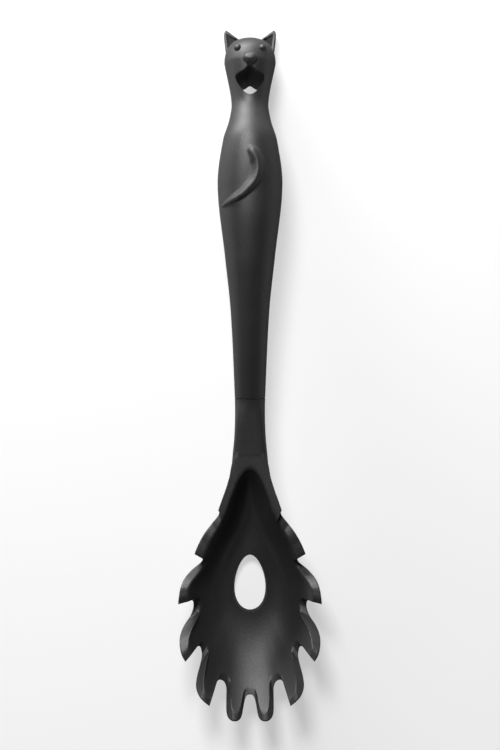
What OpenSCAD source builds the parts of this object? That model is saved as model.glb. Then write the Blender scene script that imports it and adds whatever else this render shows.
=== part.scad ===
// Pasta server with a hollow cat-shaped handle, lying on its back.
// X runs across, Y from the front teeth to the ears, Z up; Z = 0 is the surface it lies on.
// Places along the tool are distances from the front teeth, called stations.

/* [Bowl] */
// Width over the widest teeth
bowl_w = 64.8; // [50:0.2:80]
// Height of the highest tooth above the table
bowl_h = 25; // [20:0.5:30]
// Thickness of the floor
floor_t = 3; // [2.2:0.1:3.6]
// Drop of the rim's edge band to the outside at the front
rim_drop = 2.4; // [1.5:0.1:3]
// Station of the floor's lowest point
floor_low_at = 50; // [40:1:60]

/* [Drain hole] */
// Width of the hole at the inside of the bowl
hole_w = 15.2; // [10:0.2:18]
// Length of the hole at the inside of the bowl
hole_l = 26.2; // [20:0.2:30]
// Station of the hole's centre
hole_at = 61; // [56:0.5:66]
// How much narrower the hole is at the back, on each side
hole_draft = 0.7; // [0.2:0.1:1]

/* [Shank] */
// Width at the seam with the handle
shank_w = 13.6; // [10:0.1:16]
// Thickness at the seam with the handle
shank_d = 9.9; // [8:0.1:11]
// Station of the arch's crown, where the bowl runs out into the shank
arch_at = 113.2; // [110:0.2:116]
// Arch's crown to the seam between shank and handle
shank_l = 31.3; // [25:0.1:36]
// Height of the shank's middle at the arch's crown and at the seam
arch_z = 17.4; // [16:0.1:19]
seam_z = 19; // [17:0.1:21]

/* [Handle] */
// Length of the tool over the ears
overall_l = 310; // [300:1:330]
// Ear tips down to the slim grip
grip_down = 126.5; // [118:0.5:135]
// Width, depth and height of the slim grip
grip_w = 17.3; // [14:0.1:20]
grip_d = 14.2; // [12:0.1:17]
grip_z = 21.9; // [19:0.1:25]
// Ear tips down to the hips
hip_down = 102.5; // [96:0.5:108]
// Width, depth and height of the hips
hip_w = 22.3; // [19:0.1:26]
hip_d = 18.6; // [16:0.1:22]
hip_z = 22.6; // [19:0.1:25]
// Ear tips down to the belly
belly_down = 70.5; // [66:0.5:78]
// Width, depth and height of the belly
belly_w = 29; // [24:0.1:34]
belly_d = 23.4; // [20:0.1:28]
belly_z = 20.9; // [18:0.1:24]
// Ear tips down to the cat's shoulders
chest_down = 50.5; // [46:0.5:56]
// Width, depth and height of the cat's shoulders
chest_w = 24.3; // [20:0.1:27]
chest_d = 20; // [16:0.1:23]
chest_z = 17.9; // [16:0.1:20]
// Ear tips down to the neck
neck_down = 33; // [29:0.5:37]
// Width, depth and height of the neck
neck_w = 16.6; // [14:0.1:20]
neck_d = 15.4; // [13:0.1:19]
neck_z = 14.4; // [13:0.1:16]
// Wall of the hollow handle
wall = 2.4; // [1.8:0.1:3]

/* [Cat head] */
// Ear tips down to the cheeks
cheek_down = 15.4; // [13:0.2:18]
// Width, depth and height of the head at the cheeks
cheek_w = 23.1; // [20:0.1:26]
cheek_d = 20.6; // [18:0.1:24]
cheek_z = 10.7; // [10.4:0.1:12]
// Cheeks to the crown
crown_h = 11.4; // [9:0.1:13]
// Height of the crown
crown_z = 7.8; // [7:0.1:10]
// Width over the ears
ears_w = 23.4; // [20:0.1:27]
// Thickness of an ear
ear_t = 3.8; // [3:0.1:5]
// Thickness left behind the hollow of an ear
ear_floor = 1.3; // [1:0.1:1.6]
// Distance between the eyes
eye_gap = 11.1; // [9:0.1:13]
// Radius of an eye
eye_r = 1.7; // [1.2:0.1:2.2]
// Width of the nose
nose_w = 6.4; // [5:0.1:8]
// How far the nose stands out
nose_h = 2; // [1:0.1:2.6]

/* [Mouth] */
// Width of the open mouth, which is also the hanging hole
mouth_w = 12.6; // [9:0.1:14]
// Height of the open mouth
mouth_l = 12.6; // [10:0.1:14]
// Ear tips down to the middle of the upper lip, at the front
lip_down = 16.9; // [15:0.1:19]
// Slant of the hole, from front to back
mouth_tilt = 24; // [10:1:28]

/* [Tail] */
// Widest part of the tail
tail_w = 5.7; // [4:0.1:7]
// Length of the tail along the handle
tail_l = 26; // [20:0.5:32]
// How far the tail stands out
tail_h = 1.9; // [1:0.1:2.6]

/* [Inside] */
// Length of the shank's tang inside the handle
tang_l = 62; // [50:1:75]
// Width and thickness of the tang
tang_w = 8.4; // [6:0.1:9]
tang_d = 4.6; // [3.6:0.1:5]
// Radius of the pegs that lock the tang
peg_r = 1.6; // [1.2:0.1:2]
// Thickness of the ribs that cradle the tang
rib_t = 1.8; // [1.2:0.1:2.4]
// Gap between pieces that fit inside each other
fit_gap = 0.1; // [0.05:0.01:0.2]

/* [Hidden] */
black = [0.13, 0.13, 0.135];
around = 32;

// The bowl is drawn round the middle of its drain hole: angle from the crown of the arch, and
// distance as a share of half the bowl's width. Each tooth has its outer outline and the inner edge
// of its rim band, from the notch above it to its own tip. The legs come first, the blunt tooth last.
TEETH = [
    [
        [[-5.2, 1.858], [0, 1.883], [5.2, 1.858], [8.4, 1.710], [10.7, 1.537], [14.5, 1.367],
            [19, 1.231], [22.8, 1.136]],
        [[-2.1, 1.596], [0, 1.611], [2.1, 1.596], [4.1, 1.549], [5.8, 1.481], [10.1, 1.302],
            [15, 1.142], [18, 1.062], [22.8, 0.975]]
    ],
    [
        [[22.8, 1.102], [24.5, 1.068], [30, 1.022], [35.4, 0.991], [46.7, 0.938], [55, 0.907],
            [60.5, 0.889]],
        [[22.8, 0.969], [28, 0.910], [33, 0.864], [45, 0.793], [53.6, 0.756], [60.5, 0.735]]
    ],
    [
        [[60.5, 0.790], [61.4, 0.762], [63, 0.750], [67.4, 0.765], [75.5, 0.840], [85, 0.926],
            [92.9, 0.972], [99, 1.000], [104, 1.028]],
        [[60.5, 0.716], [63, 0.691], [66, 0.682], [71, 0.691], [77, 0.725], [84, 0.781],
            [90, 0.821], [96, 0.843], [104, 0.870]]
    ],
    [
        [[104, 0.864], [105.2, 0.840], [107.7, 0.833], [113, 0.864], [118, 0.948], [121.6, 1.080],
            [125.3, 1.185], [129.5, 1.265], [135.1, 1.340], [139.4, 1.373]],
        [[104, 0.772], [106, 0.738], [109.4, 0.722], [114.5, 0.750], [119, 0.796], [122.8, 0.858],
            [126, 0.957], [129.7, 1.071], [133.9, 1.164], [139.4, 1.244]]
    ],
    [
        [[139.4, 1.133], [140.4, 1.111], [141.8, 1.114], [143.4, 1.136], [146.1, 1.198],
            [148.1, 1.312], [149.9, 1.469], [151.8, 1.586], [155, 1.673], [158, 1.716],
            [161.3, 1.750]],
        [[139.4, 1.068], [140.8, 1.028], [142.5, 1.015], [144.2, 1.022], [145.8, 1.040],
            [149.3, 1.123], [151.3, 1.228], [153.2, 1.373], [155.2, 1.500], [158.3, 1.602],
            [161.3, 1.648]]
    ],
    [
        [[161.3, 1.420], [162, 1.395], [163, 1.386], [164.5, 1.392], [165.8, 1.414], [167, 1.463],
            [167.6, 1.519], [168.6, 1.667], [169.4, 1.784], [170.3, 1.846], [171.8, 1.883],
            [173.2, 1.892], [175, 1.877], [176.4, 1.818], [177.1, 1.664], [177.7, 1.58],
            [178.3, 1.531], [180, 1.519], [181.7, 1.531]],
        [[161.3, 1.340], [162.4, 1.299], [164, 1.287], [165.5, 1.293], [167.2, 1.318],
            [168.6, 1.377], [169.8, 1.491], [170.6, 1.620], [171.6, 1.716], [173.2, 1.759],
            [175, 1.747], [175.8, 1.660], [176.2, 1.556], [177, 1.472], [178.3, 1.432],
            [180, 1.420], [181.7, 1.432]]
    ]
];
// The rim without notches, inside and outside
FULL_IN = [[-8, 1.404], [0, 1.617], [8, 1.404], [15, 1.157], [23, 1.000], [34, 0.883], [47, 0.809],
    [60, 0.772], [75, 0.784], [90, 0.833], [104, 0.892], [120, 1.019], [135, 1.204], [150, 1.438],
    [161, 1.654], [170, 1.775], [180, 1.815], [190, 1.775]];
FULL_OUT = [[-6, 1.852], [0, 1.889], [5.2, 1.864], [8.4, 1.716], [10.7, 1.543], [14.5, 1.373],
    [22.8, 1.145], [35, 1.000], [47, 0.948], [60.5, 0.910], [75, 0.923], [90, 0.969], [104, 1.037],
    [120, 1.170], [137, 1.377], [150, 1.574], [161, 1.756], [170, 1.861], [180, 1.895], [190, 1.861]];
// Height of the full rim, as a share of the highest
RISE = [[-23, 0.86], [0, 0.9], [23, 0.86], [45, 0.88], [61, 0.92], [85, 0.97], [104, 1], [125, 1],
    [139, 0.97], [152, 0.92], [161, 0.86], [170, 0.8], [180, 0.78], [190, 0.8]];
// How far the outer edge lies below the inner edge, as a share of the most
LEAN = [[-15, 0.06], [0, 0.02], [15, 0.06], [23, 0.2], [45, 0.36], [61, 0.46], [104, 0.52],
    [130, 0.54], [150, 0.62], [161, 0.84], [170, 0.97], [180, 1], [190, 0.97]];
// Steepness of the inner and the outer wall
STEEP_IN = [[-10, 3.5], [0, 3.5], [23, 3.4], [61, 3.5], [82, 3.3], [104, 3], [139, 2.6], [161, 2.2],
    [180, 2.1], [199, 2.2]];
STEEP_OUT = [[-10, 4], [0, 4], [10, 4], [23, 3.9], [61, 3.6], [82, 3.3], [104, 3], [139, 2.6],
    [161, 2.2], [180, 2.1], [199, 2.2]];

function clamp01(x) = min(max(x, 0), 1);
function smooth(x) = let(s = clamp01(x)) s * s * (3 - 2 * s);
function unit(v) = v / norm(v);
function between(a, b, share) = a + (b - a) * share;

// Stations count from the front teeth, and the part's own origin is half way along it
module lying() {
    translate([0, -overall_l / 2, 0]) children();
}

// A smooth curve through a list of values or points, at any place between the first and last
function at_index(list, i) = list[min(max(i, 0), len(list) - 1)];
function curve(list, t) =
    let(
        i = min(floor(t), len(list) - 2), s = t - i,
        a = at_index(list, i), b = at_index(list, i + 1),
        ma = (b - at_index(list, i - 1)) / 2, mb = (at_index(list, i + 2) - a) / 2
    )
    (2 * s ^ 3 - 3 * s ^ 2 + 1) * a + (s ^ 3 - 2 * s ^ 2 + s) * ma
    + (3 * s ^ 2 - 2 * s ^ 3) * b + (s ^ 3 - s ^ 2) * mb;

// The same through [station, value] pairs, at any station
function pair_before(pairs, v, i = 0) =
    i >= len(pairs) - 2 || v < pairs[i + 1][0] ? i : pair_before(pairs, v, i + 1);
function pair_slope(pairs, i) =
    let(a = at_index(pairs, i - 1), b = at_index(pairs, i + 1)) (b[1] - a[1]) / (b[0] - a[0]);
function along(pairs, v) =
    let(
        i = pair_before(pairs, v), a = pairs[i], b = pairs[i + 1], h = b[0] - a[0], s = (v - a[0]) / h
    )
    (2 * s ^ 3 - 3 * s ^ 2 + 1) * a[1] + (s ^ 3 - 2 * s ^ 2 + s) * h * pair_slope(pairs, i)
    + (3 * s ^ 2 - 2 * s ^ 3) * b[1] + (s ^ 3 - s ^ 2) * h * pair_slope(pairs, i + 1);

// A solid through a row of closed rings, all with as many points, with flat ends or joined in a loop
module skin(rings, loop = false) {
    n = len(rings[0]);
    m = len(rings);
    sides = [
        for (j = [0 : m - (loop ? 1 : 2)], i = [0 : n - 1])
            let(a = j * n + i, b = j * n + (i + 1) % n, c = ((j + 1) % m) * n)
            each [[a, b, c + i], [b, c + (i + 1) % n, c + i]]
    ];
    last = (m - 1) * n;
    ends = [
        for (i = [0 : n / 2 - 2])
            each [
                [i, n - 1 - i, i + 1], [i + 1, n - 1 - i, n - 2 - i],
                [last + i, last + i + 1, last + n - 1 - i],
                [last + i + 1, last + n - 2 - i, last + n - 1 - i]
            ]
    ];
    polyhedron(points = [for (r = rings, p = r) p], faces = loop ? sides : concat(sides, ends));
}

// A place round the drain hole's middle, from its angle and its share
front_share = 1.883;
crown_share = 1.611;
function reach_y(angle) = angle > 90 ? hole_at / front_share : (arch_at - hole_at) / crown_share;
function round_hole(angle, share) =
    [share * sin(angle) * bowl_w / 2, hole_at + share * cos(angle) * reach_y(angle)];
// The edge of the drain hole in the same direction, and its distance as a share
function hole_edge(angle, in) =
    let(a = atan2(cos(angle) * hole_w, sin(angle) * hole_l))
    [
        (hole_w / 2 - in) * cos(a) * (1 - 0.18 * sin(a)),
        hole_at + in / 2 + (hole_l / 2 - in) * sin(a)
    ];
function hole_share(p, angle) = norm([p[0] / (bowl_w / 2), (p[1] - hole_at) / reach_y(angle)]);

// The floor rises a little to both sides of its lowest point
function floor_z(y) = floor_t + 0.168 * (y - floor_low_at) ^ 2 / bowl_w;

// One section through the bowl's wall, from the drain hole's edge out to the rim and back. The inner
// edge of the rim band is rounded off.
steps_in = 6;
band_round = 0.07;
// The lower half of the steps lie on rings that all sections share
function step_share(h, full, end, k) =
    let(ring = between(h, full, 0.5), half = steps_in / 2)
    k <= half ? between(h, ring, k / half) : between(ring, end, (k - half) / half);
function inside(angle, share) =
    let(
        hole = hole_edge(angle, 0), full = along(FULL_IN, angle), h = hole_share(hole, angle),
        s = (share - h) / (full - h), p = hole + s * (round_hole(angle, full) - hole),
        low = floor_z(hole[1]), top = along(RISE, angle) * bowl_h
    )
    [p[0], p[1], low + (top - low) * max(s, 0) ^ along(STEEP_IN, angle)];
function outside(angle, share) =
    let(
        hole = hole_edge(angle, hole_draft), full = along(FULL_OUT, angle), h = hole_share(hole, angle),
        s = (share - h) / (full - h), p = hole + s * (round_hole(angle, full) - hole),
        low = floor_z(hole[1]) - floor_t, top = along(RISE, angle) * bowl_h - along(LEAN, angle) * rim_drop
    )
    [p[0], p[1], low + (top - low) * max(s, 0) ^ along(STEEP_OUT, angle)];
function section(tooth, angle, side) =
    let(
        h_in = hole_share(hole_edge(angle, 0), angle),
        h_out = hole_share(hole_edge(angle, hole_draft), angle),
        edge_in = along(tooth[1], angle), edge_out = along(tooth[0], angle),
        roll = edge_in - min(band_round, (edge_in - h_in) / 4),
        corner = inside(angle, edge_in), from = inside(angle, roll), tip = outside(angle, edge_out)
    )
    [
        for (
            p = [
                for (k = [0 : steps_in]) inside(angle, step_share(h_in, along(FULL_IN, angle), roll, k)),
                for (s = [0.4, 0.75]) (1 - s) ^ 2 * from + 2 * s * (1 - s) * corner + s ^ 2 * tip,
                for (k = [steps_in : -1 : 0])
                    outside(angle, step_share(h_out, along(FULL_OUT, angle), edge_out, k))
            ]
        )
            [side * p[0], p[1], p[2]]
    ];

// Sections along half the rim, closest where the outline turns, two at each step from tip to notch
columns = [12, 6, 10, 12, 13, 20];
function knot(list, i) = let(k = min(floor(i), len(list) - 2)) between(list[k][0], list[k + 1][0], i - k);
half_rim = [
    for (k = [0 : 5])
        let(
            list = TEETH[k][0], first = k == 0 ? 1 : 0, last = len(list) - (k == 5 ? 2 : 1)
        )
        for (j = [0 : columns[k]])
            let(angle = knot(list, between(first, last, j / columns[k])))
            [k, angle + (k > 0 && j == 0 ? 0.03 : k < 5 && j == columns[k] ? -0.03 : 0)]
];
module bowl() {
    n = len(half_rim);
    skin([
        for (i = [0 : n - 1]) section(TEETH[half_rim[i][0]], half_rim[i][1], 1),
        for (i = [n - 2 : -1 : 1]) section(TEETH[half_rim[i][0]], half_rim[i][1], -1)
    ], loop = true);
}

// Stations that hang from the ear tips, so that the cat keeps its shape at any length
grip_at = overall_l - grip_down;
hip_at = overall_l - hip_down;
belly_at = overall_l - belly_down;
chest_at = overall_l - chest_down;
neck_at = overall_l - neck_down;
nape_at = (chest_at + neck_at) / 2;
cheek_at = overall_l - cheek_down;
crown_at = cheek_at + crown_h;
lip_at = overall_l - lip_down;
seam_at = arch_at + shank_l;

// The line through the middle of shank and handle, as [station, height]
SPINE = [
    [arch_at, arch_z], [between(arch_at, seam_at, 0.36), between(arch_z, seam_z, 0.25)],
    [seam_at, seam_z], [between(seam_at, grip_at, 0.54), between(seam_z, grip_z, 0.59)],
    [grip_at, grip_z], [hip_at, hip_z], [between(hip_at, belly_at, 0.56), between(hip_z, belly_z, 0.3)],
    [belly_at, belly_z], [chest_at, chest_z], [neck_at, neck_z], [cheek_at, cheek_z], [crown_at, crown_z]
];
function spine(v) = along(SPINE, v);
function tilt(v) = atan((spine(v + 1) - spine(v - 1)) / 2);
// A point at a station, x across and w out from the spine towards the front
function place(v, x, w) = [x, v - w * sin(tilt(v)), spine(v) + w * cos(tilt(v))];

// Half width and half depth along the shank, the handle and the cat, as [station, size]
HALF_W = [
    [arch_at, bowl_w * 0.131], [between(arch_at, seam_at, 0.19), bowl_w * 0.121],
    [between(arch_at, seam_at, 0.45), shank_w * 0.518], [between(arch_at, seam_at, 0.74), shank_w * 0.493],
    [seam_at, shank_w / 2], [grip_at, grip_w / 2], [hip_at, hip_w / 2], [belly_at, belly_w / 2],
    [chest_at, chest_w / 2], [nape_at, neck_w * 0.35 + chest_w * 0.15], [neck_at, neck_w / 2],
    [cheek_at, cheek_w / 2]
];
HALF_D = [
    [arch_at, shank_d * 0.515], [between(arch_at, seam_at, 0.74), shank_d * 0.495],
    [seam_at, shank_d / 2], [grip_at, grip_d / 2], [hip_at, hip_d / 2], [belly_at, belly_d / 2],
    [chest_at, chest_d / 2], [nape_at, neck_d * 0.35 + chest_d * 0.15], [neck_at, neck_d / 2],
    [cheek_at, cheek_d / 2]
];
// The crown of the head is a rounded dome
function dome(v) = let(s = clamp01((v - cheek_at) / crown_h)) (1 - s ^ 2.4) ^ (1 / 2.4);
function half_w(v) = v <= cheek_at ? along(HALF_W, v) : dome(v) * cheek_w / 2;
function half_d(v) = v <= cheek_at ? along(HALF_D, v) : dome(v) * cheek_d / 2;
// The shank is squarer near the bowl and oval at the handle
function squareness(v) = 2 + 1.2 * (1 - smooth((v - arch_at) / (seam_at - arch_at)));
function signed_power(x, e) = sign(x) * abs(x) ^ e;
function body_ring(v, keep, keep_front) =
    let(e = 2 / squareness(v), a = half_w(v) * keep, b = half_d(v))
    [
        for (i = [0 : around - 1])
            let(f = i * 360 / around, d = b * (sin(f) > 0 ? keep_front : keep))
            place(v, a * signed_power(cos(f), e), d * signed_power(sin(f), e))
    ];

// Shank and tang: a chain of sections from inside the arch's crown to the seam, then the thin
// tang that runs on inside the handle
shank_shares = [0.03, 0.1, 0.19, 0.32, 0.48, 0.64, 0.81, 1];
tang_squareness = 5;
function tang_ring(v, gap = 0) =
    let(e = 2 / tang_squareness)
    [
        for (i = [0 : around - 1])
            let(f = i * 360 / around)
            place(
                v, (tang_w / 2 + gap) * signed_power(cos(f), e),
                (tang_d / 2 + gap) * signed_power(sin(f), e)
            )
    ];
module shank_and_tang() {
    skin([
        for (s = shank_shares)
            let(inside_arch = 1 - smooth(s * 5), below_top = 1 - smooth(s * 5 + 0.15))
            body_ring(arch_at + shank_l * s, 1 - 0.15 * inside_arch, 1 - 0.6 * below_top),
        for (k = [0 : 6]) tang_ring(seam_at + tang_l * k / 6)
    ]);
}

// A round bar square to the spine at a station, from one height above it to another
module across_spine(v, from, to, r) {
    translate([0, v, spine(v)]) rotate([tilt(v), 0, 0]) translate([0, 0, from])
        mirror([0, 0, to > from ? 0 : 1]) cylinder(h = abs(to - from), r = r, $fn = 32);
}
peg_stations = [seam_at + tang_l * 0.226, seam_at + tang_l * 0.742];

module server_head() {
    color(black) lying() {
        difference() {
            union() {
                bowl();
                shank_and_tang();
            }
            for (v = peg_stations) across_spine(v, -tang_d, tang_d, peg_r + fit_gap);
        }
    }
}

// Handle: two half shells that meet on the middle surface, hollow up to the neck
arc = 15;
hollow_end = between(neck_at, chest_at, 0.4);
function hollow(v) = smooth((hollow_end - v) / (neck_at - chest_at) / 0.57);
function inner_w(v) = max(half_w(v) - wall, half_w(v) * 0.5);
function shell_ring(v, side) =
    [
        for (i = [0 : arc])
            place(v, half_w(v) * cos(i * 180 / arc), side * half_d(v) * sin(i * 180 / arc)),
        for (i = [arc : -1 : 0])
            place(
                v, inner_w(v) * cos(i * 180 / arc),
                side * (half_d(v) - wall) * hollow(v) * sin(i * 180 / arc)
            )
    ];
dome_steps = 8;
function dome_station(k) = cheek_at + crown_h * sin(k * 88.8 / dome_steps) ^ (2 / 2.4);
shell_stations = [
    for (k = [0 : 6]) between(seam_at, hip_at, 0.125 * k),
    for (k = [0 : 9]) between(between(seam_at, hip_at, 0.875), hollow_end, k / 10),
    for (k = [0 : 5]) hollow_end + (cheek_at - hollow_end) * k / 6,
    for (k = [0 : dome_steps]) dome_station(k)
];
function turned(list) = [for (i = [len(list) - 1 : -1 : 0]) list[i]];
module half_shell(side) {
    rings = [for (v = shell_stations) shell_ring(v, side)];
    skin(side > 0 ? rings : turned(rings));
}

// A rib across the hollow, cut out in the middle for the tang and a little short of the seam
rib_stations = [for (share = [0.113, 0.387, 0.613, 0.9]) seam_at + tang_l * share];
seam_relief = wall * 0.1;
function rib_ring(v, side) =
    [
        for (i = [0 : arc])
            place(
                v, (half_w(v) - wall / 2) * cos(i * 180 / arc),
                side * (seam_relief + (half_d(v) - wall / 2 - seam_relief) * sin(i * 180 / arc))
            )
    ];
module ribs(side) {
    for (v = rib_stations)
        difference() {
            hull() skin([rib_ring(v - rib_t / 2, side), rib_ring(v + rib_t / 2, side)]);
            skin([tang_ring(v - rib_t, fit_gap), tang_ring(v + rib_t, fit_gap)]);
        }
}

// A round post from one height above the spine to another, tapered over its last stretch
module post(v, from, to, r, tip_r) {
    hull() {
        across_spine(v, from, to > from ? to - r * 0.35 : to + r * 0.35, r);
        across_spine(v, from, to, tip_r);
    }
}

// The open mouth: an M-shaped upper lip over a round chin, slanting back through the head
UPPER_LIP = [[0, 0], [0.12, -0.02], [0.27, -0.1], [0.5, -0.18], [0.82, -0.24], [0.97, -0.27]];
CHIN = [[1, -0.31], [0.95, -0.43], [0.79, -0.6], [0.56, -0.79], [0.35, -0.91], [0.18, -0.98]];
half_mouth = concat(
    [for (k = [0 : 9]) curve(UPPER_LIP, k * 5 / 9)], [for (k = [0 : 9]) curve(CHIN, k * 5 / 9)]
);
mouth_outline = [
    for (p = half_mouth) p,
    [0, -1],
    for (i = [len(half_mouth) - 1 : -1 : 1]) [-half_mouth[i][0], half_mouth[i][1]]
];
module mouth() {
    front = spine(cheek_at) + cheek_d / 2;
    skin([
        for (z = [-cheek_d * 0.2, front + cheek_d * 0.3])
            [
                for (p = mouth_outline)
                    [p[0] * mouth_w / 2, lip_at + p[1] * mouth_l + (z - front) * tan(mouth_tilt), z]
            ]
    ]);
}

// The tail: a crescent that starts thin at the left flank and curls up over the belly. Its path is
// [share of half the belly's width, share of the tail's length from the belly's widest place].
TAIL_PATH = [
    [-0.86, -0.373], [-0.65, -0.296], [-0.345, -0.196], [-0.04, -0.038], [0.14, 0.081], [0.235, 0.227],
    [0.235, 0.385], [0.14, 0.542], [-0.02, 0.631]
];
TAIL_WIDTH = [0.12, 0.4, 0.62, 0.78, 0.88, 0.98, 0.98, 0.8, 0.5];
tail_round = 10;
function front_z(x, y) = spine(y) + half_d(y) * sqrt(max(0, 1 - (x / half_w(y)) ^ 2));
function tail_at(t) = let(p = curve(TAIL_PATH, t)) [p[0] * belly_w / 2, belly_at + p[1] * tail_l];
function tail_ring(t) =
    let(
        c = tail_at(t), d = unit(tail_at(min(t + 0.05, 8)) - tail_at(max(t - 0.05, 0))),
        r = tail_w / 2 * curve(TAIL_WIDTH, t), up = tail_h * min(1, 0.25 + t / 3), sink = tail_h * 0.26
    )
    [
        for (i = [0 : tail_round - 1])
            let(
                a = i * 360 / tail_round, s = r * cos(a), x = c[0] + s * d[1], y = c[1] - s * d[0]
            )
            [x, y, front_z(x, y) - sink + (sin(a) > 0 ? (up + sink) * sin(a) ^ 0.6 : 2 * sink * sin(a))]
    ];
module tail() {
    skin([for (k = [0 : 20]) tail_ring(k * 0.4)]);
}

// Places on the face: x across, y up from the cheeks, z out from the middle of the head
module on_head(x, y, z) {
    translate([0, cheek_at, spine(cheek_at)]) rotate([tilt(cheek_at), 0, 0]) translate([x, y, z]) children();
}
function face_z(x, y) =
    let(d = dome(cheek_at + y))
    d * cheek_d / 2 * sqrt(1 - (x / (d * cheek_w / 2)) ^ 2);
eye_y = crown_h * 0.447;
module eyes() {
    out = face_z(eye_gap / 2, eye_y);
    for (side = [-1, 1])
        hull() {
            on_head(side * eye_gap / 2, eye_y, out - eye_r * 0.26) sphere(r = eye_r, $fn = 18);
            on_head(side * (eye_gap / 2 - eye_r * 0.18), eye_y - eye_r * 0.18, out - eye_r * 0.7)
                sphere(r = eye_r, $fn = 18);
        }
}
nose_r = nose_w * 0.22;
module nose() {
    out = cheek_d / 2 + nose_h;
    hull() {
        for (side = [-1, 1])
            on_head(side * (nose_w / 2 - nose_r), nose_w * 0.125, out - nose_r * 1.25)
                sphere(r = nose_r, $fn = 16);
        on_head(0, -nose_w * 0.31, out - nose_r * 1.7) sphere(r = nose_r * 0.65, $fn = 16);
        on_head(0, 0, cheek_d / 2 - nose_r * 1.8) sphere(r = nose_r * 0.85, $fn = 16);
    }
}

// An ear: a rounded plate behind the middle of the head, with a hollow in its front. Its outline is
// [share of half the width over the ears, share of the height from the cheeks to the tips].
EAR = [
    [0.75, 0.2], [0.915, 0.363], [0.965, 0.6], [1, 0.84], [0.985, 0.94], [0.935, 0.998],
    [0.87, 0.985], [0.64, 0.855], [0.404, 0.713], [0.3, 0.5]
];
EAR_HOLLOW = [[0.85, 0.42], [0.895, 0.89], [0.87, 0.905], [0.49, 0.69], [0.58, 0.42]];
ear_l = cheek_down / cos(tilt(cheek_at)) + ear_t * 0.05;
function ear_outline(side, grow) =
    [
        for (k = [0 : 27])
            let(p = curve(EAR, k / 3))
            [side * (p[0] * ears_w / 2 + grow * ear_t), p[1] * ear_l + grow * ear_t]
    ];
module ears() {
    for (side = [-1, 1])
        difference() {
            hull() {
                on_head(0, 0, -ear_t) linear_extrude(height = ear_t * 0.89) polygon(ear_outline(side, -0.11));
                on_head(0, 0, -ear_t * 0.86)
                    linear_extrude(height = ear_t * 0.68) polygon(ear_outline(side, 0));
            }
            on_head(0, 0, -ear_t + ear_floor) linear_extrude(height = ear_t)
                polygon([for (p = EAR_HOLLOW) [side * p[0] * ears_w / 2, p[1] * ear_l]]);
        }
}

module handle_front() {
    color(black) lying() {
        difference() {
            union() {
                half_shell(1);
                ribs(1);
                tail();
                eyes();
                nose();
                for (v = peg_stations) post(v, half_d(v) - wall / 2, -half_d(v) + wall, peg_r, peg_r * 0.75);
            }
            mouth();
        }
    }
}

module handle_back() {
    color(black) lying() {
        difference() {
            union() {
                half_shell(-1);
                ribs(-1);
                ears();
                for (v = peg_stations)
                    post(v, -half_d(v) + wall / 2, -tang_d / 2 - fit_gap, peg_r * 2, peg_r * 1.85);
            }
            for (v = peg_stations) across_spine(v, -half_d(v) + wall - 0.1, 0, peg_r + fit_gap);
            mouth();
        }
    }
}

server_head();
handle_front();
handle_back();
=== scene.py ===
# %% [markdown]
# # A pasta server with a cat for a handle
# The tool is one toothed nylon bowl on a shank, held between two half shells that form a sitting
# cat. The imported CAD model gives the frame: every piece here is made in its axes, in metres, and
# takes the place of one CAD node, because rounded teeth, lips and ears look better in a finer mesh.

# %% The frame from the CAD model
import functools
import math

import bmesh
import bpy
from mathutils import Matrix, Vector


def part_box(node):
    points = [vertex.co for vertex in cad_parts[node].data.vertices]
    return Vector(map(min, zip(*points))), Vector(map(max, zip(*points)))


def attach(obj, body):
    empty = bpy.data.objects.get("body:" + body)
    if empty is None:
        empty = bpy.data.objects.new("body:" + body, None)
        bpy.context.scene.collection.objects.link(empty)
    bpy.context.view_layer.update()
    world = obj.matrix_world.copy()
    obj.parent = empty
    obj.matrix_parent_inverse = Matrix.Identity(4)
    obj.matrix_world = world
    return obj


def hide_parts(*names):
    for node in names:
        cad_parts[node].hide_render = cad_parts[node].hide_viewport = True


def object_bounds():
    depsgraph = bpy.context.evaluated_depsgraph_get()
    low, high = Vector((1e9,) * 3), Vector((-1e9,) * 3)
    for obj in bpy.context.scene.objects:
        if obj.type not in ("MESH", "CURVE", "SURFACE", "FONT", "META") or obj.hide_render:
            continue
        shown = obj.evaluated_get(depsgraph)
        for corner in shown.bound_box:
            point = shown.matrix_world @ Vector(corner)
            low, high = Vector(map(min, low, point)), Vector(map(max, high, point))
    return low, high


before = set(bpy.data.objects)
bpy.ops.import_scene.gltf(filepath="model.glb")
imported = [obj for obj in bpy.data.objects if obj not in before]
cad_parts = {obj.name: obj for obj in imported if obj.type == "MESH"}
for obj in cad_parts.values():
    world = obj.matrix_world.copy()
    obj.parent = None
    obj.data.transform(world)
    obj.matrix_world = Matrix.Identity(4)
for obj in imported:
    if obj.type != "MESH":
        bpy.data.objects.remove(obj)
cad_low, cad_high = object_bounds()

MM = 0.001
print("nodes", sorted(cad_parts))
print("CAD box in mm", [round(v / MM, 2) for v in (*cad_low, *cad_high)])

# %% [markdown]
# ## Driving sizes
# A few sizes carry the whole tool. Stations run along it from the front teeth (0) to the ear tips,
# and the row frame has its origin half way, so a station becomes a Y value by one subtraction.
# Width and height of the bowl and the overall length are read from the frame.

# %% Driving sizes
head_low, head_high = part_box("server_head")
bowl_w = head_high.x - head_low.x
bowl_h = head_high.z - head_low.z
overall_l = round((cad_high.y - cad_low.y) / MM) * MM
arch_at = 113.2 * MM
seam_at = arch_at + 31.3 * MM
arch_z, seam_z = 17.4 * MM, 19 * MM
floor_t, rim_drop = 3 * MM, 2.4 * MM
hole_w, hole_l, hole_at = 15.2 * MM, 26.2 * MM, 61 * MM
shank_w, shank_d = 13.6 * MM, 9.9 * MM
tang_l, tang_w, tang_d = 62 * MM, 8.4 * MM, 4.6 * MM
wall = 2.4 * MM
print("bowl", round(bowl_w / MM, 1), "x", round(bowl_h / MM, 1), "mm, length", round(overall_l / MM, 1))


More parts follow.
